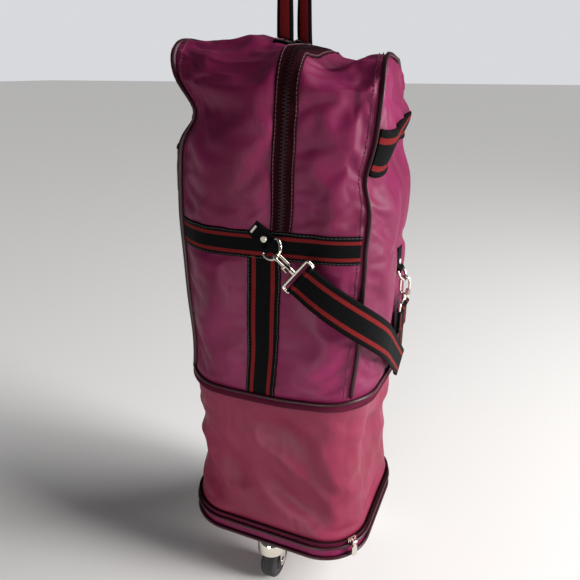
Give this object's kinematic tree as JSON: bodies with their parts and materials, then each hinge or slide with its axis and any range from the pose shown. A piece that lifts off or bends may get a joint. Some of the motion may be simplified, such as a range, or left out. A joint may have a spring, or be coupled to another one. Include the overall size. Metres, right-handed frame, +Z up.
{
  "type": "rolling bowling bag",
  "caption": "Tall expandable soft bag on casters with a stiffened base, zipped top, striped webbing trim, carry loop and clip-on shoulder strap",
  "frame": {"origin": "on the floor, under the middle of the bag's plan section, in the plane of the wheels' lowest points", "axes": "+Z up, -Y the front with the waist webbing and the single caster, +X the bag's right side with the shoulder strap"},
  "size_m": [0.273, 0.2549, 0.79],
  "materials": {
    "coated_fabric": "coated nylon, slight sheen",
    "gusset_fabric": "crumpled coated nylon",
    "stiffener": "matt",
    "piping": "glossy vinyl",
    "zip_tape": "woven tape",
    "zip_teeth": "moulded coil",
    "webbing": "black webbing with two red stripes",
    "black_webbing": "ribbed black webbing",
    "nickel": "warm nickel plate, lightly worn",
    "wheel_hub": "moulded",
    "tyre": "matt rubber"
  },
  "bodies": {
    "base": {"bottom_panel": "coated_fabric", "base_board": "stiffener", "base_band": "coated_fabric", "base_piping": "piping", "rim_piping": "piping", "lower_zip_tape": "zip_tape", "lower_zip_teeth": "zip_teeth", "expansion_gusset": "gusset_fabric", "caster_plate": "nickel", "caster_rivets": "nickel", "bracket_rivets": "nickel", "rear_bracket_left": "nickel", "rear_bracket_right": "nickel", "rear_axle_left": "nickel", "rear_axle_right": "nickel"},
    "front_caster": {"caster_kingpin": "nickel", "caster_hood": "nickel", "caster_axle": "nickel"},
    "front_wheel": {"front_hub": "wheel_hub", "front_tyre": "tyre"},
    "rear_wheel_left": {"rear_hub_left": "wheel_hub", "rear_tyre_left": "tyre"},
    "rear_wheel_right": {"rear_hub_right": "wheel_hub", "rear_tyre_right": "tyre"},
    "upper_body": {"upper_zip_tape": "zip_tape", "upper_zip_teeth": "zip_teeth", "ring_piping": "piping", "wrap_panel_left": "coated_fabric", "wrap_panel_right": "coated_fabric", "side_panel_left": "coated_fabric", "side_panel_right": "coated_fabric", "edge_piping_left": "piping", "edge_piping_right": "piping", "main_zip_tape": "zip_tape", "main_zip_teeth": "zip_teeth", "waist_webbing": "webbing", "vertical_webbing": "webbing", "side_webbing_left": "webbing", "side_webbing_right": "webbing", "handle_anchors": "black_webbing", "front_ring_tab": "black_webbing", "rear_ring_tab": "black_webbing", "front_ring": "nickel", "rear_ring": "nickel", "tab_rivets": "nickel"},
    "top_handle": {"top_handle": "webbing"},
    "main_slider": {"main_slider": "nickel"},
    "main_pull": {"main_pull": "nickel"},
    "expansion_slider": {"expansion_slider": "nickel"},
    "expansion_pull": {"expansion_pull": "nickel"},
    "shoulder_strap": {"strap_webbing": "webbing", "front_hook": "nickel", "rear_hook": "nickel"},
    "front_hook_gate": {"front_hook_gate": "nickel"},
    "rear_hook_gate": {"rear_hook_gate": "nickel"}
  },
  "joints": [
    {"name": "caster_swivel", "type": "hinge", "parent": "base", "child": "front_caster", "pos_m": [0, -0.088, 0.084], "axis": [0, 0, 1], "continuous": true},
    {"name": "front_wheel_spin", "type": "hinge", "parent": "front_caster", "child": "front_wheel", "pos_m": [0, -0.08, 0.025], "axis": [1, 0, 0], "continuous": true},
    {"name": "rear_wheel_left_spin", "type": "hinge", "parent": "base", "child": "rear_wheel_left", "pos_m": [-0.078, 0.072, 0.03], "axis": [1, 0, 0], "continuous": true},
    {"name": "rear_wheel_right_spin", "type": "hinge", "parent": "base", "child": "rear_wheel_right", "pos_m": [0.078, 0.072, 0.03], "axis": [1, 0, 0], "continuous": true},
    {"name": "expansion", "type": "slide", "parent": "base", "child": "upper_body", "axis": [0, 0, 1], "range_m": [-0.1881, 0], "deforming": ["expansion_gusset"]},
    {"name": "handle_fold", "type": "hinge", "parent": "upper_body", "child": "top_handle", "pos_m": [-0.003, 0, 0.704], "axis": [0, 1, 0], "range_deg": [-80, 80]},
    {"name": "main_zip_slide", "type": "slide", "parent": "upper_body", "child": "main_slider", "axis": [0, 0, 1], "range_m": [0, 0.1]},
    {"name": "main_pull_swing", "type": "hinge", "parent": "main_slider", "child": "main_pull", "pos_m": [0.019, 0.1211, 0.54], "axis": [1, 0, 0], "range_deg": [0, 150]},
    {"name": "expansion_zip_slide", "type": "hinge", "parent": "base", "child": "expansion_slider", "pos_m": [0.062, -0.051, 0.1115], "axis": [0, 0, 1], "range_deg": [-45, 27]},
    {"name": "expansion_pull_swing", "type": "hinge", "parent": "expansion_slider", "child": "expansion_pull", "pos_m": [0.11885, -0.09081, 0.11015], "axis": [-0.5736, -0.8192, 0], "range_deg": [0, 110]},
    {"name": "strap_swing", "type": "hinge", "parent": "upper_body", "child": "shoulder_strap", "pos_m": [0.0288, -0.12438, 0.49294], "axis": [-0.5588, -0.7674, 0.3144], "range_deg": [0, 20]},
    {"name": "front_hook_gate_open", "type": "hinge", "parent": "shoulder_strap", "child": "front_hook_gate", "pos_m": [0.03906, -0.12998, 0.48433], "axis": [-0.6428, 0, -0.766], "range_deg": [0, 22], "stiffness_Nm_per_rad": 0.004},
    {"name": "rear_hook_gate_open", "type": "hinge", "parent": "shoulder_strap", "child": "rear_hook_gate", "pos_m": [0.14098, 0.022, 0.41957], "axis": [0, -1, 0], "range_deg": [0, 22], "stiffness_Nm_per_rad": 0.004}
  ]
}
